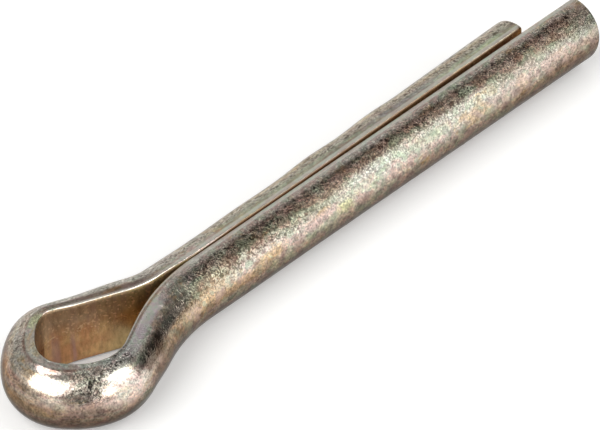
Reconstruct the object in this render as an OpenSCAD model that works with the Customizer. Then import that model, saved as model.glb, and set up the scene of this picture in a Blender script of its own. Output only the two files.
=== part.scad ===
// Cotter pin: one length of half-round wire, bent around an eye so that its two flats
// meet and its two legs make up a round shank.
// +X runs along the shank to the tips, +Y is towards the short leg, and +Z is across the
// wire. The origin is on the shank's centre line, where the long leg leaves the eye.

/* [Wire] */
// Width of the wire across its flat, which is also the diameter of its round side
wire_w = 7; // [5:0.1:9]
// Radius that eases the two corners between the flat and the round side
corner_r = 0.5; // [0.3:0.05:0.8]

/* [Legs] */
// Length of the long leg, from the origin to its tip
long_leg = 49.3; // [30:0.1:90]
// Length of the short leg, from the origin to its tip
short_leg = 44; // [25:0.1:80]
// Gap between the two flats where the legs lie side by side
leg_gap = 0.08; // [0.02:0.02:0.2]
// Distance from the origin at which the short leg starts to spring away
spring_start = 14; // [8:0.5:20]
// Angle that the short leg springs away from the long one
spring_turn = 0.54; // [0.3:0.02:1.2]

/* [Necks] */
// Radius, at the flat, of the long leg's bend into the eye
long_neck_r = 20; // [14:0.5:26]
// Angle of the long leg's bend into the eye
long_neck_turn = 28; // [20:1:34]
// Straight wall of the eye after the long leg's bend
long_wall = 3; // [1:0.5:6]
// Radius, at the flat, of the short leg's bend into the eye
short_neck_r = 8.5; // [6:0.5:12]
// Angle of the short leg's bend into the eye
short_neck_turn = 22.5; // [19:0.5:29]
// Radius, at the flat, that eases that bend into the short leg
short_ease_r = 150; // [100:10:200]
// Angle of the eased stretch
short_ease_turn = 1; // [0.5:0.1:1.5]

/* [Eye] */
// Radius inside the shoulder next to the long leg
long_shoulder_r = 3.8; // [3:0.1:5]
// Turn of the shoulder next to the long leg
long_shoulder_turn = 50; // [40:1:60]
// Radius inside the flatter side next to the long leg
long_side_r = 6; // [5:0.1:8]
// Turn of the flatter side next to the long leg
long_side_turn = 36; // [30:1:45]
// Radius inside the nose of the eye
nose_r = 2.7; // [2:0.1:4]
// Turn of the nose of the eye
nose_turn = 64; // [50:1:70]
// Radius inside the flatter side next to the short leg
short_side_r = 6.6; // [5:0.1:8]
// Turn of the flatter side next to the short leg
short_side_turn = 31; // [25:1:40]
// Radius inside the shoulder next to the short leg
short_shoulder_r = 1.9; // [1.5:0.1:3]

/* [Tips] */
// Lean of the long leg's sheared end towards its round side
long_lean_out = 9.5; // [0:0.5:12]
// Lean of the long leg's sheared end towards the top
long_lean_up = 10; // [-12:0.5:12]
// Lean of the short leg's sheared end towards its round side
short_lean_out = 3; // [0:0.5:12]
// Lean of the short leg's sheared end towards the top
short_lean_up = -6; // [-12:0.5:12]
// Width of the worn edge around each sheared end
tip_edge = 0.3; // [0.1:0.05:0.6]

/* [Hidden] */
$fn = 96;
// Radius of the round side
crown_r = wire_w / 2;
// Angle between the short faces that ease a corner
corner_step = 20;
// The last face of a corner stops short of a quarter turn, so that it meets the round
// side at a clear angle
corner_sweep = 80;
corner_y = sqrt(pow(crown_r - corner_r, 2) - pow(corner_r, 2));
// Every other stretch of the wire is this much fuller all round, and the ones between
// run on into it by the lap, so that each joint is a clean step
full = 0.02;
lap = 0.05;
// Radius of the bend that springs the short leg
spring_r = 100;
// Reach of the tool that shears an end, past the wire on every side
shear_reach = 2 * wire_w;

// The wire's route, from the long leg to the short one. A stretch is [radius, turn], with
// the turn positive towards the round side, or [0, length] where it runs straight. Every
// turn follows the flat.
long_root = [0, -leg_gap / 2, 180];
long_half = [
    [long_neck_r, long_neck_turn],
    [0, long_wall],
    [long_shoulder_r, -long_shoulder_turn],
    [long_side_r, -long_side_turn],
    [nose_r, -nose_turn],
    [short_side_r, -short_side_turn]
];
// The last shoulder takes what is left of the turn from one leg round to the other
short_wall_lean = short_neck_turn + short_ease_turn;
half_turn = 180 + long_neck_turn + short_wall_lean;
turned = long_shoulder_turn + long_side_turn + nose_turn + short_side_turn;
eye_bends = concat(long_half, [[short_shoulder_r, turned - half_turn]]);
// The short wall is as long as brings the short leg's flat back to its place
short_neck = [[short_neck_r, short_neck_turn], [short_ease_r, short_ease_turn]];
eye_end = walk(long_root, eye_bends, len(eye_bends));
neck_drop = walk([0, 0, -short_wall_lean], short_neck, len(short_neck)).y;
short_wall = (eye_end.y + neck_drop - leg_gap / 2) / sin(short_wall_lean);
eye_route = concat(eye_bends, [[0, short_wall]], short_neck);
short_root = walk(long_root, eye_route, len(eye_route));
short_start = [[0, spring_start - short_root.x], [spring_r, spring_turn]];
bent_route = concat(eye_route, short_start);
sprung = walk(short_root, short_start, len(short_start));
sprung_length = (short_leg - sprung.x) / cos(spring_turn);
short_tip = walk(sprung, [[0, sprung_length]], 1);

// Where the wire stands, as [x, y, heading], after one stretch
function after(at, stretch) =
    stretch[0] == 0
    ? [at.x + stretch[1] * cos(at.z), at.y + stretch[1] * sin(at.z), at.z]
    : let (side = sign(stretch[1]), out = at.z + stretch[1], r = stretch[0] * side)
      [at.x + r * (sin(out) - sin(at.z)), at.y - r * (cos(out) - cos(at.z)), out];

// Where the wire stands after the first count stretches of a route
function walk(at, route, count) =
    count == 0 ? at : after(walk(at, route, count - 1), route[count - 1]);

// One eased corner of the section, on the side that is given as 1 or -1
function corner(side, grow) = [
    for (a = [0:corner_step:corner_sweep])
        [corner_r * (1 - cos(a)) - grow, side * (corner_y + grow + corner_r * sin(a))]
];

// The wire's section: its flat lies on the Y axis and its round side faces +X
module section(grow) {
    upper = corner(1, grow);
    lower = corner(-1, grow);
    last = len(upper) - 1;
    intersection() {
        circle(r = crown_r + grow);
        polygon(concat(
            upper,
            [[wire_w, upper[last].y], [wire_w, lower[last].y]],
            [for (i = [last:-1:0]) lower[i]]
        ));
    }
}

// A stretch sets off along +X with its round side to the left. A slim one is lapped at
// both ends, and a full one isn't.
module straight(length, grow) {
    over = grow > 0 ? 0 : lap;
    translate([-over, 0, 0])
        rotate([90, 0, 90])
            linear_extrude(height = length + 2 * over)
                section(grow);
}

module bend(radius, turn, grow) {
    lap_turn = grow > 0 ? 0 : lap / radius * 180 / PI;
    swept = abs(turn) + 2 * lap_turn;
    if (turn > 0)
        translate([0, radius, 0])
            rotate([0, 0, -90 - lap_turn])
                rotate_extrude(angle = swept)
                    translate([radius, 0])
                        mirror([1, 0])
                            section(grow);
    else
        translate([0, -radius, 0])
            rotate([0, 0, 90 + turn - lap_turn])
                rotate_extrude(angle = swept)
                    translate([radius, 0])
                        section(grow);
}

// What a shear takes off past a tip at the origin, of a leg that comes from -X with its
// round side to +Y. A cone inside it leaves the worn edge.
module shear(lean_out, lean_up) {
    rotate([0, lean_up, -lean_out])
        rotate([0, 90, 0])
            difference() {
                translate([0, 0, -crown_r])
                    cylinder(r = shear_reach, h = crown_r + shear_reach);
                translate([0, 0, -wire_w])
                    cylinder(r1 = crown_r - tip_edge + wire_w, r2 = crown_r - tip_edge, h = wire_w);
            }
}

module long_leg_bar() {
    mirror([0, 1, 0])
        translate([0, -long_root.y, 0])
            difference() {
                straight(long_leg + crown_r, 0);
                translate([long_leg, 0, 0])
                    shear(long_lean_out, long_lean_up);
            }
}

module short_leg_bar() {
    difference() {
        translate([sprung.x, sprung.y, 0])
            rotate([0, 0, sprung.z])
                straight(sprung_length + crown_r, full);
        translate([short_tip.x, short_tip.y, 0])
            shear(short_lean_out, short_lean_up);
    }
}

// The stretches between the two bars, full and slim by turns
module bent_wire() {
    for (i = [0:len(bent_route) - 1]) {
        at = walk(long_root, bent_route, i);
        grow = i % 2 == 0 ? full : 0;
        translate([at.x, at.y, 0])
            rotate([0, 0, at.z])
                if (bent_route[i][0] == 0)
                    straight(bent_route[i][1], grow);
                else
                    bend(bent_route[i][0], bent_route[i][1], grow);
    }
}

module cotter_pin() {
    color([0.66, 0.6, 0.47])
        union() {
            long_leg_bar();
            bent_wire();
            short_leg_bar();
        }
}

cotter_pin();
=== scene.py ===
import math

import bpy
import bmesh
from mathutils import Matrix, Vector


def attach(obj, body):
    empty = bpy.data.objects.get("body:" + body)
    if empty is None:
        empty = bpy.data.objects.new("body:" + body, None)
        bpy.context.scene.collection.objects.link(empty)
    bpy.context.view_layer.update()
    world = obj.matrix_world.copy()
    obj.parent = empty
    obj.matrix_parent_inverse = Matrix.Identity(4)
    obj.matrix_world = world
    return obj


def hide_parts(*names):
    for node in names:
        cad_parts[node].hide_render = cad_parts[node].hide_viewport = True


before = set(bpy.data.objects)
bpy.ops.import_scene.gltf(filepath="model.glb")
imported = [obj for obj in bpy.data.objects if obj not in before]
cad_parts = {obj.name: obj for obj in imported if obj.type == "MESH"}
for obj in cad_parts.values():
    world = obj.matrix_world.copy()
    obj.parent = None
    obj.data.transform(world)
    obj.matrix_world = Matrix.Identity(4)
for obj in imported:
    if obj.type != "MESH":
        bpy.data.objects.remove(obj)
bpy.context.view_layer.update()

mm = 0.001
weldDistance = 1e-7  # m


# The view: the camera looks down on the pin from beside the eye
viewValues = {
    "azimuth": -41.92,  # degrees, where 0 looks along +Y
    "elevation": 42.61,  # degrees above the floor
    "roll": -3.117,
    "distance": 1050.0,  # mm
    "lookAt": (13.564, -0.415, 0.0),  # mm
    "lens": 674.73,  # mm on a 36 mm sensor
}


def placeCamera(values):
    azimuth, elevation, roll = (math.radians(values[k]) for k in ("azimuth", "elevation", "roll"))
    back = Vector((
        math.sin(azimuth) * math.cos(elevation),
        -math.cos(azimuth) * math.cos(elevation),
        math.sin(elevation),
    ))
    right = Vector((math.cos(azimuth), math.sin(azimuth), 0))
    turn = Matrix((right, back.cross(right), back)).transposed() @ Matrix.Rotation(roll, 3, "Z")
    data = bpy.data.cameras.new("pinCamera")
    data.lens = values["lens"]
    data.sensor_width = 36
    data.clip_start = 0.05
    data.clip_end = 50
    camera = bpy.data.objects.new("pinCamera", data)
    place = (Vector(values["lookAt"]) + back * values["distance"]) * mm
    camera.matrix_world = Matrix.Translation(place) @ turn.to_4x4()
    bpy.context.collection.objects.link(camera)
    bpy.context.scene.camera = camera


placeCamera(viewValues)
bpy.context.scene.view_settings.view_transform = "Standard"
print("camera placed")


# The wire: its section, and its route from the long leg's tip, round the eye, to the short one's
wireValues = {
    "width": 7.0,  # mm across the flat
    "cornerEase": 0.3,  # mm radius of the two corners
    "crownSteps": 52,
    "cornerSteps": 9,
    "flatCuts": 9,
    "ringLength": 0.6,  # mm between rings
    "ringTurn": 4.0,  # degrees between rings in a bend
    "legGap": 0.08,  # mm between the flats beside the eye
    "longLeg": 49.55,  # mm from the origin to the tip
    "shortLeg": 44.28,
    "shearStock": 4.0,  # mm of spare wire past each tip
    "plainEnd": 2.5,  # mm next to each shear without rings
    "neck": (20.0, 28.0),  # mm radius at the flat, and degrees towards the round side
    "longWall": 3.0,
    "eyeBends": ((3.8, -50.0), (6.0, -36.0), (2.7, -64.0), (6.6, -31.0), (1.9, -50.5)),
    "shortWall": 7.407,
    "shortNeck": ((8.5, 22.5), (150.0, 1.0)),
    "leanStart": 8.0,  # mm from the origin, where the short leg starts to lean and twist
    "leanBend": (150.0, 0.8),
    "springStart": 14.0,
    "springBend": (100.0, 0.54),
    "twist": 7.0,  # degrees by the short leg's tip
    "swell": (0.06, 0.18),  # mm, on the near side and round the nose
    "swellReach": (0.75, 1.15),  # mm from the flat
    "swellTurn": (67.0, 71.0),  # mm along the wire, between those two
    "swellRun": (57.0, 80.0),  # mm along the wire
    "swellRunFade": 3.0,
    "swellEdge": 0.35,  # mm past its reach where it ends
    "swellFade": 0.4,  # mm over which it ends
    "swellWithin": 2.0,  # it stays within so many mm of the flat
    "swellPast": 1.5,  # and farther than so many mm from the middle of the wire
    "eyeEase": 0.65,  # mm radius of the corners round the eye
    "eyeEaseRun": (55.0, 93.0),
    "eyeEaseFade": 4.0,
    # Where bending has drawn the round side thinner or filled it out: mm along, reach, degrees
    # round from the crown, and mm
    "fullness": (
        (63.0, 4.0, 58.0, -0.30), (85.2, 5.5, 82.0, 0.24), (100.5, 5.0, 82.0, 0.06),
        (110.0, 4.5, 82.0, 0.13), (118.0, 4.0, 82.0, 0.11), (45.0, 9.0, 82.0, 0.04),
        (72.0, 5.0, 82.0, 0.09), (90.5, 3.5, 82.0, 0.07)),
    "fullnessFade": 32.0,  # degrees
}
# The two sheared ends: degrees that they lean, mm that their worn edge reaches back, the share that
# it draws in by, the rings it is made of, how dark it is, and mm from the tip that are cut at all
longTipValues = {
    "leanOut": 9.5, "leanUp": 9.5, "wear": 0.22, "drawIn": 0.05, "rings": 4, "darkness": 1.0,
    "cutWithin": 6.0}
shortTipValues = {
    "leanOut": 0.5, "leanUp": -6.0, "wear": 0.6, "drawIn": 0.17, "rings": 6, "darkness": 0.72,
    "cutWithin": 8.0}
tipFace = {"border": 0.12, "darkness": 0.2}  # mm of dark border, and how dark the face is inside it


def drawSection(bm, values):
    radius = values["width"] * mm / 2
    ease = values["cornerEase"] * mm
    cornerUp = math.sqrt((radius - ease) ** 2 - ease ** 2)
    crownHalf = math.acos(ease / (radius - ease))
    arcs = (
        ((0, ease, -cornerUp), math.pi - crownHalf, values["cornerSteps"]),
        ((0, 0, 0), 2 * crownHalf, values["crownSteps"]),
        ((0, ease, cornerUp), math.pi - crownHalf, values["cornerSteps"]),
    )
    first = pen = bm.verts.new((0, 0, -cornerUp))
    for centre, angle, steps in arcs:
        arc = bmesh.ops.spin(
            bm, geom=[pen], cent=centre, axis=(1, 0, 0), angle=angle, steps=steps)
        pen = [v for v in arc["geom_last"] if isinstance(v, bmesh.types.BMVert)][0]
    flat = bm.edges.new((pen, first))
    bmesh.ops.subdivide_edges(bm, edges=[flat], cuts=values["flatCuts"])
    return bmesh.ops.contextual_create(bm, geom=bm.edges[:])["faces"][0]


def aheadOf(angle):
    return Vector((math.cos(angle), math.sin(angle), 0))


def outwardOf(angle):
    # Towards the round side of the wire
    return Vector((-math.sin(angle), math.cos(angle), 0))


def pullFace(bm, face):
    # Extrudes one face in place, and gives back the new one
    grown = bmesh.ops.extrude_face_region(bm, geom=[face] + face.edges[:])["geom"]
    return [f for f in grown if isinstance(f, bmesh.types.BMFace)][0]


class WireBender:
    # Pushes the section along its route, ring by ring, and notes on each ring how far it has come
    def __init__(self, values):
        self.values = values
        self.bm = bmesh.new()
        self.along, self.outward, self.across, self.heading, self.worn = (
            self.bm.verts.layers.float.new(name)
            for name in ("along", "outward", "across", "heading", "worn"))
        self.cap = drawSection(self.bm, values)
        for v in self.bm.verts:
            v[self.outward] = v.co.y
            v[self.across] = v.co.z
        self.place = mm * Vector((
            values["longLeg"] + values["shearStock"], -values["legGap"] / 2, 0))
        self.angle = math.pi
        self.run = -values["shearStock"] * mm
        start = Matrix.Translation(self.place) @ Matrix.Rotation(self.angle, 4, "Z")
        bmesh.ops.transform(self.bm, matrix=start, verts=self.bm.verts[:])
        self.noteRing()

    def noteRing(self):
        for v in self.cap.verts:
            v[self.along] = self.run
            v[self.heading] = self.angle

    def ring(self, move, length, turn=0, twist=0):
        self.cap = pullFace(self.bm, self.cap)
        bmesh.ops.transform(self.bm, matrix=move, verts=self.cap.verts[:])
        self.place = move @ self.place
        self.angle += turn
        self.run += length
        if twist:
            bmesh.ops.rotate(
                self.bm, cent=self.place, matrix=Matrix.Rotation(twist, 3, aheadOf(self.angle)),
                verts=self.cap.verts[:])
        self.noteRing()

    def straight(self, length, twist=0, rings=None):
        rings = rings or max(1, round(length / self.values["ringLength"]))
        step = length * mm / rings
        move = Matrix.Translation(aheadOf(self.angle) * step)
        for i in range(rings):
            self.ring(move, step, twist=math.radians(twist) / rings)

    def bend(self, radius, turn, twist=0):
        rings = max(2, math.ceil(abs(turn) / self.values["ringTurn"]))
        rings = max(rings, round(radius * math.radians(abs(turn)) / self.values["ringLength"]))
        step = math.radians(turn) / rings
        centre = self.place + outwardOf(self.angle) * math.copysign(radius * mm, turn)
        swing = Matrix.Rotation(step, 4, "Z")
        move = Matrix.Translation(centre) @ swing @ Matrix.Translation(-centre)
        for i in range(rings):
            self.ring(move, abs(step) * radius * mm, turn=step, twist=math.radians(twist) / rings)


def bendWire(values):
    wire = WireBender(values)
    plainEnd = values["plainEnd"]
    wire.straight(values["shearStock"] + plainEnd, rings=1)
    wire.straight(values["longLeg"] - plainEnd)
    wire.bend(*values["neck"])
    wire.straight(values["longWall"])
    for radius, turn in values["eyeBends"]:
        wire.bend(radius, turn)
    wire.straight(values["shortWall"])
    for radius, turn in values["shortNeck"]:
        wire.bend(radius, turn)
    wire.straight(values["leanStart"] - wire.place.x / mm)
    # The short leg twists evenly as it leans and then springs away
    twistPerMm = values["twist"] / (values["shortLeg"] - values["leanStart"])
    for (radius, turn), end in (
            (values["leanBend"], values["springStart"]),
            (values["springBend"], values["shortLeg"] - plainEnd)):
        wire.bend(radius, turn, twist=radius * math.radians(turn) * twistPerMm)
        rest = end - wire.place.x / mm
        wire.straight(rest, twist=rest * twistPerMm)
    wire.straight(values["shearStock"] + plainEnd, rings=1)
    return wire


def fadeInOut(run, ends, fade):
    # 1 between the two ends of a run, easing to 0 at both
    weight = min(max((run - ends[0]) / fade, 0), 1) * min(max((ends[1] - run) / fade, 0), 1)
    return weight * weight * (3 - 2 * weight)


def easeRim(wire, values):
    # Round the eye the corners are rounder: what stands out past the larger radius is pushed back
    # from the flat, and out to its side
    radius = values["eyeEase"] * mm
    centre = Vector((radius, values["width"] * mm / 2 - radius))
    for v in wire.bm.verts:
        weight = fadeInOut(v[wire.along] / mm, values["eyeEaseRun"], values["eyeEaseFade"])
        away = Vector((v[wire.outward], abs(v[wire.across]))) - centre
        if weight == 0 or away.x > 0 or away.y < 0 or away.length < radius:
            continue
        push = away * (radius / away.length - 1) * weight
        v.co += outwardOf(v[wire.heading]) * push.x
        v.co.z += math.copysign(push.y, v[wire.across])


def fillBends(wire, values):
    # Fills out the round side, or draws it thinner
    for v in wire.bm.verts:
        around = math.degrees(math.atan2(abs(v[wire.across]), v[wire.outward] + 1e-9))
        for centre, reach, edge, amount in values["fullness"]:
            share = abs(v[wire.along] / mm - centre) / reach
            fade = min(max((edge - around) / values["fullnessFade"], 0), 1)
            if share < 1 and fade > 0:
                push = amount * mm * fade * math.cos(share * math.pi / 2) ** 2
                away = outwardOf(v[wire.heading]) * v[wire.outward] + Vector((0, 0, v[wire.across]))
                v.co += away.normalized() * push


def swellRim(wire, values):
    # Where the wire is bent with its flat inside, the edges of the flat swell
    for v in wire.bm.verts:
        bent = fadeInOut(v[wire.along] / mm, values["swellRun"], values["swellRunFade"])
        out = v[wire.outward] / mm
        aside = abs(v.co.z) < values["swellPast"] * mm or out > values["swellWithin"]
        if bent == 0 or aside:
            continue
        start, end = values["swellTurn"]
        turned = min(max((v[wire.along] / mm - start) / (end - start), 0), 1)
        reach, swell = (
            low + (high - low) * turned for low, high in (values["swellReach"], values["swell"]))
        rim = min(max((reach + values["swellEdge"] - out) / values["swellFade"], 0), 1)
        rim = rim * rim * (3 - 2 * rim)
        v.co.z += math.copysign(swell * mm * bent * rim, v.co.z)


def shearTip(wire, point, normal, nearTip, values):
    # Cuts one end off along a leaning plane, then draws the cut face in over a few short rings
    bm = wire.bm
    verts = [v for v in bm.verts if nearTip(v[wire.along])]
    chosen = set(verts)
    edges = [e for e in bm.edges if all(v in chosen for v in e.verts)]
    faces = [f for f in bm.faces if all(v in chosen for v in f.verts)]
    wear = values["wear"] * mm
    cut = bmesh.ops.bisect_plane(
        bm, geom=verts + edges + faces, dist=weldDistance, plane_co=point - normal * wear,
        plane_no=normal, clear_outer=True)
    rim = [e for e in cut["geom_cut"] if isinstance(e, bmesh.types.BMEdge)]
    cap = bmesh.ops.contextual_create(bm, geom=rim)["faces"][0]
    pushed, scaled = 0, 1
    for i in range(values["rings"]):
        angle = math.pi / 2 * (i + 1) / values["rings"]
        push, scale = wear * math.sin(angle), 1 - values["drawIn"] * (1 - math.cos(angle))
        cap = pullFace(bm, cap)
        centre = cap.calc_center_median()
        bmesh.ops.translate(bm, vec=normal * (push - pushed), verts=cap.verts[:])
        bmesh.ops.scale(
            bm, vec=Vector((1, 1, 1)) * scale / scaled,
            space=Matrix.Translation(-centre), verts=cap.verts[:])
        pushed, scaled = push, scale
        for v in cap.verts:
            v[wire.worn] = values["darkness"]
    bmesh.ops.inset_region(bm, faces=[cap], thickness=tipFace["border"] * mm)
    for v in cap.verts:
        v[wire.worn] = tipFace["darkness"]


def shearNormal(angle, crownSide, values):
    # Leans the end towards the round side, and towards the top
    lean = math.radians(values["leanOut"]) * crownSide
    up = math.radians(values["leanUp"])
    return aheadOf(angle - lean) * math.cos(up) - Vector((0, 0, math.sin(up)))


def makeWire(values):
    wire = bendWire(values)
    wireEnd = wire.run
    easeRim(wire, values)
    fillBends(wire, values)
    swellRim(wire, values)
    longEnd = Vector((values["longLeg"], -values["legGap"] / 2, 0)) * mm
    longCut = longTipValues["cutWithin"] * mm
    shearTip(
        wire, longEnd, shearNormal(0, -1, longTipValues), lambda run: run < longCut, longTipValues)
    shortEnd = wire.place - aheadOf(wire.angle) * values["shearStock"] * mm
    shortCut = wireEnd - (shortTipValues["cutWithin"] + values["shearStock"]) * mm
    shearTip(
        wire, shortEnd, shearNormal(wire.angle, 1, shortTipValues),
        lambda run: run > shortCut, shortTipValues)
    bmesh.ops.remove_doubles(wire.bm, verts=wire.bm.verts[:], dist=weldDistance)
    bmesh.ops.recalc_face_normals(wire.bm, faces=wire.bm.faces[:])
    mesh = bpy.data.meshes.new("bentWire")
    wire.bm.to_mesh(mesh)
    print("wire bent:", len(mesh.polygons), "faces,", round(wireEnd / mm, 2), "mm run")
    wire.bm.free()
    mesh.shade_smooth()
    pin = bpy.data.objects.new("bentWire", mesh)
    bpy.context.collection.objects.link(pin)
    return pin


bentWire = makeWire(wireValues)


class NodeMaker:
    # Makes nodes in one tree, under short names. All but fill and node give back an output
    def __init__(self, tree):
        self.tree = tree

    def fill(self, socket, value):
        if isinstance(value, bpy.types.NodeSocket):
            self.tree.links.new(value, socket)
        elif isinstance(value, tuple) and len(value) < len(socket.default_value):
            socket.default_value = (*value, 1)  # a colour, which is written without its alpha
        else:
            socket.default_value = value

    def node(self, kind, settings=None, **sockets):
        # A socket goes by its name, or by its number as s0, s1 and so on
        node = self.tree.nodes.new(kind)
        for name, value in (settings or {}).items():
            setattr(node, name, value)
        for name, value in sockets.items():
            numbered = name[0] == "s" and name[1:].isdigit()
            self.fill(node.inputs[int(name[1:]) if numbered else name.replace("_", " ")], value)
        return node

    def math(self, operation, first, second=0.0):
        return self.node("ShaderNodeMath", {"operation": operation}, s0=first, s1=second).outputs[0]

    def add(self, first, second):
        return self.math("ADD", first, second)

    def less(self, first, second):
        return self.math("SUBTRACT", first, second)

    def times(self, first, *others):
        for other in others:
            first = self.math("MULTIPLY", first, other)
        return first

    def most(self, first, *others):
        for other in others:
            first = self.math("MAXIMUM", first, other)
        return first

    def range(self, value, low, high, outLow=0.0, outHigh=1.0, smooth=True):
        node = self.node(
            "ShaderNodeMapRange", {"interpolation_type": "SMOOTHSTEP" if smooth else "LINEAR"},
            Value=value, From_Min=low, From_Max=high, To_Min=outLow, To_Max=outHigh)
        return node.outputs["Result"]

    def band(self, value, centre, inner, outer):
        # 1 within the inner distance of the centre, 0 past the outer one
        return self.range(self.math("ABSOLUTE", self.less(value, centre)), outer, inner)

    def blend(self, factor, first, second):
        return self.node(
            "ShaderNodeMix", {"data_type": "FLOAT"}, s0=factor, s2=first, s3=second).outputs[0]

    def mix(self, factor, first, second, blend="MIX"):
        return self.node(
            "ShaderNodeMix", {"data_type": "RGBA", "blend_type": blend},
            s0=factor, s6=first, s7=second).outputs[2]

    def shade(self, factor, colour, shade):
        # Multiplies a colour by a shade where the factor is 1
        return self.mix(factor, colour, self.mix(1.0, colour, shade, "MULTIPLY"))

    def ramp(self, factor, *stops):
        node = self.node("ShaderNodeValToRGB", None, Fac=factor)
        elements = node.color_ramp.elements
        while len(elements) < len(stops):
            elements.new(0.5)
        for element, (position, colour) in zip(elements, stops):
            element.position = position
            element.color = (*(colour if isinstance(colour, tuple) else (colour,) * 3), 1)
        return node.outputs["Color"]

    def stretch(self, vector, by):
        return self.node(
            "ShaderNodeVectorMath", {"operation": "MULTIPLY"}, s0=vector, s1=by).outputs[0]

    def noise(self, vector, scale, detail, roughness, distortion):
        return self.node(
            "ShaderNodeTexNoise", None, Vector=vector, Scale=scale, Detail=detail,
            Roughness=roughness, Distortion=distortion).outputs["Fac"]


# Floor and light
floorValues = {
    "size": 8.0,  # m
    "colour": (0.9, 0.9, 0.895),
    "roughness": 0.9,
    "specular": 0.1,
    "lift": 0.22,  # brightness added for the camera and for what the metal mirrors
}


def layFloor(values):
    bm = bmesh.new()
    bmesh.ops.create_grid(bm, x_segments=1, y_segments=1, size=values["size"] / 2)
    lowest = min(v.co.z for v in bentWire.data.vertices)  # the pin rests on its eye's swollen rim
    bmesh.ops.translate(bm, vec=(0, 0, lowest), verts=bm.verts[:])
    mesh = bpy.data.meshes.new("paleFloor")
    bm.to_mesh(mesh)
    bm.free()
    floor = bpy.data.objects.new("paleFloor", mesh)
    bpy.context.collection.objects.link(floor)
    paint = bpy.data.materials.new("paleFloor")
    paint.use_nodes = True
    nodes = NodeMaker(paint.node_tree)
    shader = nodes.tree.nodes["Principled BSDF"]
    nodes.fill(shader.inputs["Base Color"], values["colour"])
    nodes.fill(shader.inputs["Roughness"], values["roughness"])
    nodes.fill(shader.inputs["Specular IOR Level"], values["specular"])
    # The lift is seen by the camera and mirrored by the metal, and lights nothing
    rays = nodes.node("ShaderNodeLightPath").outputs
    seen = nodes.most(rays["Is Camera Ray"], rays["Is Glossy Ray"], rays["Is Transmission Ray"])
    nodes.fill(shader.inputs["Emission Strength"], nodes.times(seen, values["lift"]))
    nodes.fill(shader.inputs["Emission Color"], (1, 1, 1))
    mesh.materials.append(paint)
    return floor


paleFloor = layFloor(floorValues)

# Angles in degrees, distance and size in m, and power in W
lampValues = {
    "nearPanel": {
        "azimuth": -67.0, "elevation": 44.5, "distance": 1.2, "size": (0.54, 0.86), "power": 4.4},
    "nearCard": {
        "azimuth": -72.0, "elevation": 13.0, "distance": 1.2, "size": (0.9, 0.45), "power": 1.4},
    "rimStrip": {
        "azimuth": -97.0, "elevation": 24.0, "distance": 1.2, "size": (0.3, 0.6), "power": 1.8},
    "eyePanel": {
        "azimuth": 180.0, "elevation": 48.0, "distance": 1.2, "size": (1.15, 1.0), "power": 11.0},
}
# The room is an even grey, paler towards its far wall, and dark overhead and between the panels
worldValues = {
    "room": 0.36,
    "colour": (1.0, 0.985, 0.95),
    "patches": (
        {"azimuth": 52.0, "elevation": 34.0, "inner": 22.0, "outer": 40.0, "light": 0.52},
        {"azimuth": 62.0, "elevation": 4.0, "inner": 14.0, "outer": 28.0, "light": 0.55},
        {"azimuth": -15.0, "elevation": 60.0, "inner": 8.0, "outer": 20.0, "light": 0.02},
        {"azimuth": -22.0, "elevation": 16.0, "inner": 8.0, "outer": 22.0, "light": 0.05},
        {"azimuth": -122.0, "elevation": 54.0, "inner": 16.0, "outer": 27.0, "light": 0.04},
        {"azimuth": 152.0, "elevation": 12.0, "inner": 20.0, "outer": 38.0, "light": 0.72},
        {"azimuth": -164.0, "elevation": 1.0, "inner": 12.0, "outer": 24.0, "light": 1.5},
    ),
}


def towards(values):
    # The direction of a lamp or patch, with azimuth 0 along +X
    azimuth, elevation = math.radians(values["azimuth"]), math.radians(values["elevation"])
    return Vector((
        math.cos(azimuth) * math.cos(elevation), math.sin(azimuth) * math.cos(elevation),
        math.sin(elevation)))


def hangPanel(name, values):
    data = bpy.data.lights.new(name, "AREA")
    data.shape = "RECTANGLE"
    data.size, data.size_y = values["size"]
    data.energy = values["power"]
    panel = bpy.data.objects.new(name, data)
    away = towards(values)
    place = Matrix.Translation(away * values["distance"])
    panel.matrix_world = place @ away.to_track_quat("Z", "Y").to_matrix().to_4x4()
    bpy.context.collection.objects.link(panel)


def lightWorld(values):
    world = bpy.data.worlds.new("studio")
    bpy.context.scene.world = world
    world.use_nodes = True
    nodes = NodeMaker(world.node_tree)
    background = nodes.tree.nodes["Background"]
    sky = nodes.node("ShaderNodeTexCoord").outputs["Generated"]
    light = values["room"]
    for patch in values["patches"]:
        facing = nodes.node(
            "ShaderNodeVectorMath", {"operation": "DOT_PRODUCT"}, s0=sky,
            s1=tuple(towards(patch))).outputs["Value"]
        inner, outer = (math.cos(math.radians(patch[k])) for k in ("inner", "outer"))
        light = nodes.range(facing, inner, outer, patch["light"], light)
    nodes.fill(background.inputs["Strength"], light)
    nodes.fill(background.inputs["Color"], values["colour"])


for name, values in lampValues.items():
    hangPanel(name, values)
lightWorld(worldValues)
print("floor and lights set")
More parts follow.
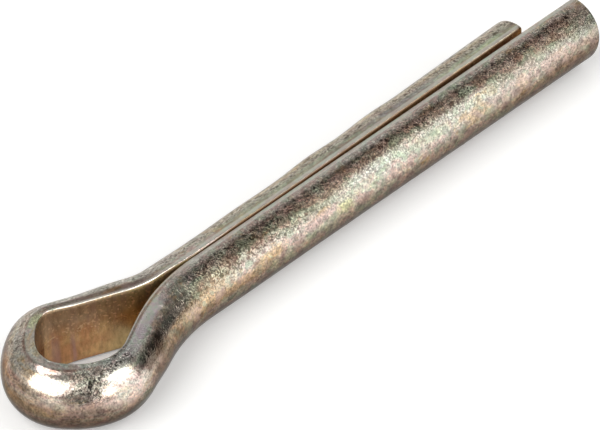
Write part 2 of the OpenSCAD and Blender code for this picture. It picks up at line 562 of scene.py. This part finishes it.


# The yellow-passivated zinc: pink, gold and green tints that run along the wire, crackled where
# it is dull, with a deeper amber on the flat side and a painted shade of bronze underneath
zincValues = {
    "gold": (0.78, 0.56, 0.33),
    "bronze": (0.60, 0.44, 0.28),
    "pink": (0.76, 0.58, 0.53),
    "green": (0.60, 0.67, 0.52),
    "pale": (0.76, 0.73, 0.65),
    "vein": (0.84, 0.80, 0.68),
    "lime": (0.84, 0.84, 0.52),
    "mint": (0.86, 0.92, 0.88),
    "dusk": (0.55, 0.44, 0.37),
    "lavender": (0.68, 0.68, 0.72),
    "steel": (0.95, 0.91, 0.90),  # along the top of the neck
    "rimHighlight": (0.88, 0.85, 0.78),  # a painted highlight, along the short wall's rim
    "olive": (0.17, 0.155, 0.11),  # between the veins of the crackle
    "maroon": (0.19, 0.14, 0.115),  # there, in places
    "slitShade": (0.23, 0.14, 0.08),  # painted shade, brown, in the slit between the legs
    # The tint is multiplied by these: along the top of the long leg, in places there, outside the
    # short wall, and as painted shade below the long leg's film
    "film": (0.57, 0.44, 0.40),
    "greenFilm": (0.49, 0.50, 0.44),
    "wallFilm": (0.44, 0.39, 0.38),
    "shadeBelowFilm": (0.75, 0.78, 0.75),
    # As painted shade on the lower flank, again underneath and on the nose; on the swollen rim of
    # the eye; as painted shade at set dark places; and round the edges of the sheared ends
    "flankShade": (0.38, 0.335, 0.295),
    "undersideShade": (0.58, 0.58, 0.60),
    "nose": (0.60, 0.48, 0.43),
    "rim": (0.86, 0.93, 0.94),
    "neckShade": (0.34, 0.31, 0.29),
    "shadeBetweenHighlights": (0.72, 0.72, 0.70),
    "eyeShade": (0.68, 0.60, 0.54),
    "legShade": (0.70, 0.69, 0.67),
    "edge": (0.48, 0.44, 0.40),
    # On the flat side
    "amber": (0.47, 0.25, 0.12),
    "goldAmber": (0.54, 0.34, 0.16),
    "shadeAmber": (0.48, 0.35, 0.22),
    "oliveAmber": (0.36, 0.29, 0.145),
    "plum": (0.40, 0.24, 0.23),
    "plumStreaks": ((78.0, 0.5), (79.7, 0.3)),  # mm along the wire, and half width
    "edgeTint": 0.6,  # brightness of what the metal mirrors at a glancing angle
    "eyeRoughness": 0.12,
    "legRoughness": 0.22,
    "flatRoughness": 0.26,
    "flatTopRoughness": 0.46,
    "slitRoughness": 0.25,  # added to the roughness, as the two below
    "slitLineRoughness": 0.2,
    "neckTopRoughness": 0.10,
    "crackleSize": 0.21,  # mm
    "blisterDepth": 0.02,  # mm, as the two below
    "ridgeDepth": 0.008,
    "grainDepth": 0.005,
}
# How strongly each layer shows
strengths = {
    "speckle": 0.9,
    "pinkMottle": 0.55,
    "greenMottle": 0.55,
    "steel": 0.8,
    "wallRim": 0.8,
    "veins": 0.8,
    "betweenVeins": 0.95,
    "neckEdge": 0.7,
    "slitHighlights": 0.75,
    "oliveAmber": 0.8,
    "plumStreaks": 0.55,
    "flecks": 0.7,
}
# Noise along the straightened wire: how much its mm are scaled along it, out from the flat and
# across, then detail, roughness and distortion
wirePatterns = {
    "drift": ((0.8, 0.9, 0.9), 5.0, 0.65, 0.3),
    "dullPatches": ((0.3, 0.6, 0.6), 4.0, 0.65, 0.5),
    "filmTone": ((0.45, 0.9, 0.9), 3.0, 0.6, 0.0),
    "tints": ((0.3, 0.5, 0.5), 4.0, 0.6, 0.4),
    "drawnOut": ((0.5, 2.2, 2.2), 3.0, 0.6, 0.0),
    "ribbons": ((0.5, 2.0, 2.0), 3.0, 0.6, 0.0),
    "flatWander": ((0.35, 1.0, 0.5), 3.0, 0.5, 0.0),
    "flatGrime": ((2.2, 1.0, 0.9), 5.0, 0.7, 0.0),
    "flatStreaks": ((0.9, 1.0, 0.12), 4.0, 0.55, 0.0),
}
# Noise in the object's own mm: scale, detail, roughness and distortion. Those of the crackle are
# scaled by its size as well
finePatterns = {
    "grain": (5.0, 2.0, 0.6, 0.0),
    "smudges": (2.2, 3.0, 0.6, 0.0),
    "mottle": (0.9, 4.0, 0.6, 0.0),
    "blotches": (1.3, 4.0, 0.7, 0.0),
    "flecks": (3.5, 1.0, 0.5, 0.0),
}
cracklePatterns = {
    "blisters": (1.0, 1.0, 0.4, 0.8),
    "worms": (0.45, 3.0, 0.7, 1.0),
    "neckWorms": (0.27, 2.0, 0.7, 1.2),
}
# The tones of a pattern, as a position and what is there: a brightness, a colour or its name
tones = {
    "tints": ((0.34, "gold"), (0.44, "pale"), (0.50, "pink"), (0.56, "pale"), (0.66, "green")),
    "smudges": ((0.38, 0.80), (0.5, 1.0), (0.62, 1.18)),
    "drawnOut": ((0.36, (0.78, 0.68, 0.58)), (0.5, 1.0), (0.62, (1.06, 1.14, 1.02))),
    "speckle": ((0.36, 0.50), (0.5, 0.95), (0.64, 1.25)),
    "steel": ((0.40, (0.84, 0.90, 0.80)), (0.48, "steel"), (0.56, (0.92, 0.80, 0.88))),
    "blotches": ((0.36, (0.70, 0.68, 0.70)), (0.5, 1.0), (0.63, (1.28, 1.24, 1.16))),
    "ribbons": ((0.36, (0.80, 0.70, 0.66)), (0.48, "rimHighlight"), (0.60, (0.82, 0.90, 0.80))),
    "flatGrime": ((0.34, 0.72), (0.5, 1.0), (0.64, 1.22)),
}
# Soft patches of one tint: mm along the wire, degrees round it, reach in each, tint and strength
patchCore = 0.3  # share of its reach within which a patch is full
# The patches of the bright rim tint are painted highlights
tintPatches = (
    (53.0, 25.0, 7.0, 22.0, "gold", 0.8),
    (47.0, 8.0, 7.0, 13.0, "gold", 0.8),
    (42.5, 19.0, 2.5, 12.0, "gold", 0.8),
    (36.0, 22.0, 5.0, 14.0, "pink", 0.7),
    (32.8, 16.0, 1.6, 14.0, "lime", 0.9),
    (29.0, 44.0, 5.0, 12.0, "mint", 0.45),
    (19.0, 44.0, 5.0, 11.0, "mint", 0.3),
    (22.0, 30.0, 3.5, 12.0, "green", 0.5),
    (12.0, 26.0, 9.0, 32.0, "pale", 0.4),
    (7.0, 30.0, 5.0, 24.0, "pink", 0.6),
    (2.5, 8.0, 4.5, 24.0, "dusk", 0.95),
    (58.5, 22.0, 5.5, 24.0, "bronze", 0.85),
    (51.0, 84.0, 5.0, 14.0, "rimHighlight", 0.7),
    (75.6, 84.0, 1.6, 18.0, "lime", 0.9),
    (67.0, 12.0, 2.5, 14.0, "pink", 0.6),
    (70.6, 4.0, 2.0, 14.0, "bronze", 0.8),
    (68.2, -4.0, 1.3, 12.0, "plum", 0.6),
    (66.6, 2.0, 1.1, 10.0, "plum", 0.4),
    (69.2, 20.0, 1.4, 9.0, "pale", 0.6),
    (73.8, 58.0, 1.6, 10.0, "rimHighlight", 0.7),
    (84.0, 61.0, 8.0, 12.0, "rimHighlight", 0.95),
    (115.0, 65.0, 30.0, 11.0, "rimHighlight", 0.5),
    (104.0, 76.0, 11.0, 12.0, "green", 0.7),
    (112.0, 54.0, 22.0, 9.0, "gold", 0.6),
    (120.0, 63.0, 9.0, 12.0, "pink", 0.5),
    (121.0, 88.0, 8.0, 8.0, "gold", 0.7),
    (121.0, 75.0, 7.0, 8.0, "lavender", 0.7),
    (130.0, 76.0, 7.0, 11.0, "green", 0.8),
    (133.0, 84.0, 5.0, 10.0, "lime", 0.4),
    (128.0, 57.0, 9.0, 9.0, "gold", 0.6),
    (49.0, 40.0, 3.5, 14.0, "bronze", 0.75),
    (36.0, 44.0, 5.0, 11.0, "green", 0.5),
    (56.5, 42.0, 4.5, 12.0, "pale", 0.95),
    (4.5, 40.0, 4.0, 12.0, "pale", 0.7),
    (42.0, 42.0, 3.5, 10.0, "pale", 0.9),
    (1.5, 60.0, 2.5, 11.0, "dusk", 0.95),
    (61.5, 14.0, 3.0, 13.0, "dusk", 0.8),
    (88.5, 66.0, 3.0, 12.0, "rimHighlight", 1.0),
    (7.0, -6.0, 8.0, 14.0, "bronze", 0.5),
    (52.5, 4.0, 5.0, 12.0, "bronze", 0.5),
    (10.0, 18.0, 6.0, 13.0, "dusk", 0.4),
    (31.5, 29.0, 3.0, 9.0, "green", 0.5),
    (28.5, 78.0, 7.0, 10.0, "rimHighlight", 0.7),
    (64.0, 71.0, 3.2, 17.0, "rimHighlight", 1.0),
)
# Parts of the finish along the wire, in mm from the long leg's tip. Two numbers are where a part
# starts to show and where it is full. Three are its middle, and the distances from there within
# which it is full and past which it is gone
alongPlaces = {
    "longTipFilm": (0.3, 2.5),
    "longTipCrackle": (0.3, 2.0),
    "longTip": (9.0, 2.5),
    "outerFilm": (20.0, 20.0, 36.0),
    "outerLeg": (22.0, 7.0, 12.0),
    "midLeg": (32.0, 38.0),
    "clearPatch": (42.0, 3.0, 6.0),
    "slitEnd": (52.0, 48.0),
    "neckCrackle": (55.0, 5.0, 9.0),
    "slitLineEnd": (56.0, 46.0),
    "neckBare": (56.0, 4.0, 8.0),
    "eyeStart": (56.0, 63.0),
    "shadeBelowFilmEnd": (57.0, 51.0),
    "neck": (57.0, 4.0, 8.0),
    "neckEdge": (57.5, 4.0, 7.0),
    "neckLow": (59.0, 2.5, 5.0),
    "rimStart": (59.0, 64.0),
    "neckTop": (59.3, 2.6, 5.2),
    "longLeg": (64.0, 60.0),
    "shoulderLow": (64.0, 1.5, 4.0),
    "shoulderBright": (64.5, 1.2, 2.0),
    "rimLineStart": (65.0, 68.0),
    "noseBright": (70.5, 1.8, 2.9),
    "noseLow": (71.0, 4.0, 6.5),
    "nose": (73.8, 2.2, 5.0),
    "wallStart": (75.0, 78.0),
    "wallRimStart": (77.0, 79.5),
    "rimEnd": (77.5, 74.0),
    "rimLineEnd": (79.0, 76.0),
    "oliveStart": (81.0, 84.5),
    "slitLineStart": (84.0, 94.0),
    "eyeEnd": (90.0, 78.0),
    "slitStart": (90.0, 93.0),
    "wallEnd": (92.0, 86.0),
    "shortLeg": (93.0, 99.0),
    "roundEye": (98.0, 92.0),
}
# And round it, in degrees: 0 on the crown, and 90 at the upper edge of the flat
aroundPlaces = {
    "relief": (14.0, 40.0),
    "noseBrown": (50.0, 32.0),
    "lessPink": (42.0, 10.0, 24.0),
    # Where the painted shade below the film lies
    "shadeBelowFilm": (45.0, 9.0, 21.0),
    "clearPatch": (52.0, 46.0),
    "shoulderBright": (66.0, 58.0),
    "neckTopLow": (60.0, 68.0),
    "neckTopHigh": (83.0, 77.0),
    "wallFilmLow": (67.0, 73.0),
    "wallFilmHigh": (87.0, 82.0),
}
# Across it, in mm upwards from its middle
acrossPlaces = {
    "upperSide": (1.5, 2.5),
    # The flank and underside places are where the painted shade of the lower side fades in
    "flankShade": (1.9, -0.2),
    "blotches": (2.2, 0.6),
    "undersideShade": (0.4, -2.0),
    "nose": (-0.6, 1.0),
    "plumStreaks": (1.2, -1.0),
    "flatTop": (1.2, 3.4),
    "flecks": (0.4, 1.8),
}
# In mm out from the flat, or past the edge of the eye's swollen rim
outPlaces = {
    "wallRim": (0.75, 0.45),
    "neckEdge": (0.12, 0.12, 0.24),
    "neckShadeLine": (0.44, 0.05, 0.16),
    "slitHighlights": (0.36, 0.12, 0.26),
}
rimPlaces = {"rim": (0.10, -0.10), "line": (0.07, 0.04, 0.2)}
# Darker places: the shade, where it lies along and round the wire, and whether its ends wander
darkPlaces = (
    ("neckShade", (61.3, 1.2, 2.4), (38.0, 8.0, 19.0), True),
    # Painted shade between the eye's two highlights
    ("shadeBetweenHighlights", (67.5, 0.8, 1.9), (54.0, 16.0, 26.0), True),
    ("eyeShade", (67.5, 2.0, 5.0), (2.0, -18.0), False),
    ("legShade", (131.5, 135.5), (78.0, 5.0, 11.0), False),
    ("legShade", (43.5, 6.0, 9.0), (55.0, 4.0, 9.0), True),
    ("legShade", (55.5, 1.2, 2.8), (55.0, 4.0, 9.0), True),
    ("legShade", (117.5, 5.0, 9.0), (78.0, 4.0, 9.0), False),
)
# The film and its crackle start at so many degrees, and lower by so many on the neck
filmTop = {"edge": 81.0, "onNeck": 17.0}
# Where they start and end, in degrees down from there
filmPlaces = {
    "crackleStart": (4.0, 14.0),
    "crackleEnd": (56.0, 34.0),
    "filmStart": (5.0, 15.0),
    "filmEnd": (46.0, 30.0),
}
# How many degrees further down than elsewhere they reach
filmReach = {"longTip": 5.0, "midLeg": 6.0, "outerLeg": -7.0, "neck": -8.0}
# How many mm lower than elsewhere the painted shade of the lower flank starts
flankDrop = {"shoulderLow": 0.3, "noseLow": -0.8, "neckLow": -0.8}


class ZincFinish(NodeMaker):
    # Lays the finish down step by step: each step changes the tint, and keeps what others need
    def __init__(self, values):
        self.paint = bpy.data.materials.new("yellowZinc")
        self.paint.use_nodes = True
        super().__init__(self.paint.node_tree)
        self.values = values
        self.measureWire()
        self.findPlaces()
        self.growCrackle()
        self.layTints()
        self.speckle()
        self.layCrackle()
        self.layFilm()
        self.darkenFlank()
        self.markRim()
        self.darkenPlaces()
        self.markSlit()
        self.layAmber()
        self.polish()
        self.raiseRelief()
        shader = self.shader()
        self.fill(shader["Metallic"], 1.0)
        self.fill(shader["Specular Tint"], (values["edgeTint"],) * 3)

    def shader(self):
        return self.tree.nodes["Principled BSDF"].inputs

    def measureWire(self):
        # Places on the straightened wire, in mm, and degrees round it
        self.runMm, self.outMm, self.acrossMm = (
            self.times(
                self.node("ShaderNodeAttribute", {"attribute_name": name}).outputs["Fac"], 1 / mm)
            for name in ("along", "outward", "across"))
        self.wireSpace = self.node(
            "ShaderNodeCombineXYZ", None, s0=self.runMm, s1=self.outMm, s2=self.acrossMm).outputs[0]
        # The fine grain reads the object's own mm, so that the bends don't stretch it
        self.grainSpace = self.stretch(
            self.node("ShaderNodeTexCoord").outputs["Object"], (1 / mm, 1 / mm, 1 / mm))
        self.aroundDeg = self.times(
            self.math("ARCTAN2", self.acrossMm, self.add(self.outMm, 0.02)), 180 / math.pi)

    def wireNoise(self, name):
        stretch, *others = wirePatterns[name]
        return self.noise(self.stretch(self.wireSpace, stretch), 1.0, *others)

    def fineNoise(self, name):
        return self.noise(self.grainSpace, *finePatterns[name])

    def crackleNoise(self, name):
        scale, *others = cracklePatterns[name]
        return self.noise(self.grainSpace, scale / self.values["crackleSize"], *others)

    def tone(self, name, pattern):
        return self.ramp(pattern, *(
            (position, self.values[tone] if isinstance(tone, str) else tone)
            for position, tone in tones[name]))

    def place(self, value, ends):
        return self.range(value, *ends) if len(ends) == 2 else self.band(value, *ends)

    def along(self, name):
        return self.place(self.runMm, alongPlaces[name])

    def around(self, name):
        return self.place(self.aroundDeg, aroundPlaces[name])

    def out(self, name):
        return self.place(self.outMm, outPlaces[name])

    def findPlaces(self):
        self.drift = self.wireNoise("drift")
        self.wander = self.times(self.less(self.drift, 0.5), 3.0)
        self.wanderMm = self.add(self.runMm, self.wander)
        self.eye = self.times(self.along("eyeStart"), self.along("eyeEnd"))
        self.shortWall = self.times(self.along("wallStart"), self.along("wallEnd"))
        self.shortLeg = self.along("shortLeg")
        self.neck = self.along("neck")
        self.neckTop = self.times(
            self.along("neckTop"), self.around("neckTopLow"),
            self.range(self.aroundDeg, *aroundPlaces["neckTopHigh"], 0.25, 1.0))
        self.upperSide = self.place(self.acrossMm, acrossPlaces["upperSide"])
        reach = self.range(self.runMm, *wireValues["swellTurn"], *wireValues["swellReach"])
        self.pastRim = self.less(self.outMm, reach)
        self.rim = self.times(
            self.along("rimStart"), self.along("rimEnd"),
            self.place(self.pastRim, rimPlaces["rim"]), self.upperSide)
        self.wallRim = self.times(
            self.shortWall, self.out("wallRim"), self.along("wallRimStart"))
        self.coarse = self.less(1.0, self.most(
            self.times(self.neckTop, 0.15), self.wallRim, self.times(self.rim, 0.25),
            self.times(self.shortLeg, 0.6)))
        self.burnished = self.most(
            self.times(self.along("shoulderBright"), self.around("shoulderBright")),
            self.along("noseBright"))

    def growCrackle(self):
        # Worm-like crackle: pale veins on olive, larger on the neck
        self.blisters = self.crackleNoise("blisters")
        worms = self.blend(
            self.along("neckCrackle"), self.crackleNoise("worms"), self.crackleNoise("neckWorms"))
        self.ridges = self.range(self.math("ABSOLUTE", self.less(worms, 0.5)), 0.09, 0.0)
        self.grain = self.fineNoise("grain")
        self.dullPatches = self.wireNoise("dullPatches")
        self.filmTone = self.wireNoise("filmTone")

    def layTints(self):
        # Tints in long patches, and a few at set places
        values = self.values
        self.tint = self.tone("tints", self.wireNoise("tints"))
        golden = self.range(self.drift, 0.45, 0.75, 0.0, 0.5)
        self.tint = self.mix(golden, self.tint, values["gold"])
        for run, around, runReach, aroundReach, name, strength in tintPatches:
            there = self.times(
                self.band(self.wanderMm, run, runReach * patchCore, runReach),
                self.band(self.aroundDeg, around, aroundReach * patchCore, aroundReach), strength)
            self.tint = self.mix(there, self.tint, values[name])

    def speckle(self):
        # Broader smudges, drawn out along the wire on the short leg, then a fine speckle
        values = self.values
        for factor, name, pattern in (
                (self.range(self.eye, 0.0, 1.0, 1.0, 0.7), "smudges", self.fineNoise("smudges")),
                (self.shortLeg, "drawnOut", self.wireNoise("drawnOut")),
                (self.times(self.coarse, strengths["speckle"]), "speckle", self.grain)):
            self.tint = self.mix(factor, self.tint, self.tone(name, pattern), "MULTIPLY")
        mottle = self.fineNoise("mottle")
        pinkish = self.less(strengths["pinkMottle"], self.times(self.around("lessPink"), 0.4))
        greenish = self.less(strengths["greenMottle"], self.times(self.eye, 0.4))
        for ends, share, name in (
                ((0.50, 0.62), pinkish, "pink"), ((0.48, 0.36), greenish, "green")):
            there = self.times(self.range(mottle, *ends), self.coarse, share)
            self.tint = self.mix(there, self.tint, values[name])
        # Smooth and steel-coloured along the top of the neck
        self.tint = self.mix(
            self.times(self.neckTop, strengths["steel"]), self.tint, self.tone("steel", mottle))
        # A painted highlight along the short wall's rim
        self.tint = self.mix(
            self.times(self.wallRim, strengths["wallRim"]), self.tint, values["rimHighlight"])

    def layCrackle(self):
        # Degrees down from where the film starts, and the same as its lower side counts them
        values = self.values
        self.below = self.less(
            self.less(filmTop["edge"], self.times(self.neck, filmTop["onNeck"])), self.aroundDeg)
        self.depth = self.below
        for name, degrees in filmReach.items():
            self.depth = self.less(self.depth, self.times(self.along(name), degrees))
        dull = self.times(
            self.place(self.below, filmPlaces["crackleStart"]),
            self.place(self.depth, filmPlaces["crackleEnd"]),
            self.range(self.dullPatches, 0.30, 0.54, 0.35, 1.0), self.less(1.0, self.burnished),
            self.range(self.runMm, *alongPlaces["longTipCrackle"], 0.4, 1.0),
            self.less(1.0, self.times(self.eye, 0.1)),
            self.range(self.along("neckBare"), 0.0, 1.0, 1.0, 0.5))
        veins = self.add(self.times(self.ridges, 0.9), self.times(self.blisters, 0.7))
        self.tint = self.mix(
            self.times(self.range(veins, 0.8, 1.2), dull, strengths["veins"]), self.tint,
            values["vein"])
        between = self.mix(
            self.range(self.filmTone, 0.44, 0.56), values["maroon"], values["olive"])
        self.tint = self.mix(
            self.times(self.range(veins, 0.90, 0.34), dull, strengths["betweenVeins"]), self.tint,
            between)

    def layFilm(self):
        # A dark film along the top of the long leg, and painted shade below it
        values = self.values
        film = self.times(
            self.place(self.below, filmPlaces["filmStart"]),
            self.place(self.depth, filmPlaces["filmEnd"]),
            self.along("longLeg"), self.range(self.drift, 0.30, 0.60, 0.7, 1.0),
            self.range(self.runMm, *alongPlaces["longTipFilm"], 0.3, 1.0),
            self.range(self.along("outerFilm"), 0.0, 1.0, 0.6, 1.0))
        tone = self.mix(self.range(self.filmTone, 0.48, 0.60), values["film"], values["greenFilm"])
        self.tint = self.shade(film, self.tint, tone)
        wall = self.times(self.shortWall, self.around("wallFilmHigh"), self.around("wallFilmLow"))
        self.tint = self.shade(wall, self.tint, values["wallFilm"])
        clear = self.times(self.along("clearPatch"), self.around("clearPatch"))
        shadeBelowFilm = self.times(
            self.around("shadeBelowFilm"), self.along("shadeBelowFilmEnd"), self.range(clear, 0.0, 1.0, 1.0, 0.1))
        self.tint = self.shade(shadeBelowFilm, self.tint, values["shadeBelowFilm"])

    def darkenFlank(self):
        # Painted shade: browner on the lower flank, deeper underneath, and brown round the nose
        values = self.values
        low = self.add(self.acrossMm, self.times(self.wander, 0.6))
        for name, drop in flankDrop.items():
            low = self.add(low, self.times(self.along(name), drop))
        flankShade, patchy, undersideShade, aboveNose = (
            self.place(low, acrossPlaces[name])
            for name in ("flankShade", "blotches", "undersideShade", "nose"))
        blotches = self.tone("blotches", self.fineNoise("blotches"))
        self.tint = self.shade(flankShade, self.tint, values["flankShade"])
        self.tint = self.mix(patchy, self.tint, blotches, "MULTIPLY")
        self.tint = self.shade(undersideShade, self.tint, values["undersideShade"])
        nose = self.times(self.along("nose"), self.around("noseBrown"), aboveNose)
        self.tint = self.shade(nose, self.tint, values["nose"])

    def markRim(self):
        # The rim of the eye is smooth and grey-green, with a dark line of painted shade outside it
        values = self.values
        self.tint = self.shade(self.rim, self.tint, values["rim"])
        line = self.times(
            self.along("rimLineStart"), self.along("rimLineEnd"),
            self.place(self.pastRim, rimPlaces["line"]), self.upperSide,
            self.range(self.drift, 0.35, 0.6, 0.3, 0.9))
        self.tint = self.shade(line, self.tint, values["film"])

    def darkenPlaces(self):
        # Painted shade outside the neck, round the eye and in places along the legs
        for name, run, around, wanders in darkPlaces:
            there = self.times(
                self.place(self.wanderMm if wanders else self.runMm, run),
                self.place(self.aroundDeg, around))
            self.tint = self.shade(there, self.tint, self.values[name])

    def markSlit(self):
        values = self.values
        # A painted highlight along the edge of the neck, and a line of painted shade beside it
        neckEdge, strength = self.along("neckEdge"), strengths["neckEdge"]
        self.tint = self.mix(
            self.times(neckEdge, self.out("neckEdge"), strength), self.tint, values["rimHighlight"])
        self.tint = self.shade(
            self.times(neckEdge, self.out("neckShadeLine"), strength), self.tint, values["film"])
        # Painted shade, brown, in the slit, and a painted highlight line on either side
        self.slitHighlights = self.times(
            self.out("slitHighlights"),
            self.most(self.along("slitLineEnd"), self.along("slitLineStart")))
        self.tint = self.mix(
            self.times(self.slitHighlights, strengths["slitHighlights"]), self.tint,
            self.tone("ribbons", self.wireNoise("ribbons")))
        edge = self.add(self.times(self.shortLeg, 0.08), 0.05)
        self.slitShade = self.times(
            self.most(self.along("slitEnd"), self.along("slitStart")),
            self.range(self.less(self.outMm, edge), 0.05, -0.05))
        self.tint = self.mix(self.slitShade, self.tint, values["slitShade"])
        # Dark round the edges of the sheared ends
        worn = self.node("ShaderNodeAttribute", {"attribute_name": "worn"}).outputs["Fac"]
        self.tint = self.shade(self.range(worn, 0.55, 0.95), self.tint, values["edge"])

    def layAmber(self):
        # Amber on the flat side: browner and flecked towards the top, with plum streaks across it
        values = self.values
        wander = self.wireNoise("flatWander")
        amber = self.mix(self.range(wander, 0.42, 0.6), values["amber"], values["goldAmber"])
        level = self.add(self.acrossMm, self.times(wander, 2.5))
        roundEye = self.along("roundEye")
        self.flatTop = self.times(self.place(level, acrossPlaces["flatTop"]), roundEye)
        amber = self.mix(self.flatTop, amber, values["shadeAmber"])
        olive = self.times(self.along("oliveStart"), roundEye, strengths["oliveAmber"])
        amber = self.mix(olive, amber, values["oliveAmber"])
        darkness = self.tone("flatGrime", self.wireNoise("flatGrime"))
        amber = self.mix(1.0, amber, darkness, "MULTIPLY")
        streaks = self.range(self.wireNoise("flatStreaks"), 0.48, 0.70, 0.0, 0.4)
        amber = self.mix(streaks, amber, values["plum"])
        streakMm = self.add(self.runMm, self.times(wander, 0.6))
        for run, half in values["plumStreaks"]:
            streak = self.times(
                self.band(streakMm, run, half * 0.1, half),
                self.place(self.acrossMm, acrossPlaces["plumStreaks"]), strengths["plumStreaks"])
            amber = self.mix(streak, amber, values["plum"])
        flecks = self.times(
            self.range(self.fineNoise("flecks"), 0.58, 0.66),
            self.place(level, acrossPlaces["flecks"]), strengths["flecks"])
        amber = self.mix(flecks, amber, values["gold"])
        edge = self.range(self.slitShade, 0.0, 1.0, 0.10, 0.03)
        self.flatSide = self.range(self.less(self.outMm, edge), 0.0, -0.03)
        self.fill(self.shader()["Base Color"], self.mix(self.flatSide, self.tint, amber))

    def polish(self):
        # Burnished round the eye, duller on the legs, and dullest in the slit and high on the flat
        values = self.values
        gloss = self.range(
            self.eye, 0.0, 1.0, values["legRoughness"], values["eyeRoughness"], smooth=False)
        gloss = self.add(gloss, self.range(self.drift, 0.3, 0.7, -0.04, 0.08, smooth=False))
        flat = self.range(
            self.flatTop, 0.0, 1.0, values["flatRoughness"], values["flatTopRoughness"],
            smooth=False)
        gloss = self.blend(self.flatSide, gloss, flat)
        for there, name in (
                (self.slitShade, "slitRoughness"), (self.slitHighlights, "slitLineRoughness"),
                (self.neckTop, "neckTopRoughness")):
            gloss = self.add(gloss, self.times(there, values[name]))
        self.fill(self.shader()["Roughness"], gloss)

    def raiseRelief(self):
        # Relief in mm, stronger in the dull patches and slight on the flat side
        values = self.values
        relief = self.add(
            self.times(self.blisters, values["blisterDepth"]),
            self.times(self.ridges, values["ridgeDepth"]))
        relief = self.times(
            relief, self.range(self.dullPatches, 0.36, 0.56, 0.5, 1.0),
            self.range(self.burnished, 0.0, 1.0, 1.0, 0.2), self.coarse,
            self.range(self.aroundDeg, *aroundPlaces["relief"], 0.5, 1.0))
        relief = self.add(relief, self.times(self.grain, values["grainDepth"]))
        relief = self.times(relief, self.range(self.flatSide, 0.0, 1.0, 1.0, 0.15))
        bump = self.node("ShaderNodeBump", None, Strength=1.0, Distance=mm, Height=relief)
        self.fill(self.shader()["Normal"], bump.outputs[0])


bentWire.data.materials.append(ZincFinish(zincValues).paint)
print("finish made")

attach(bentWire, "root")
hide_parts("cotter_pin")
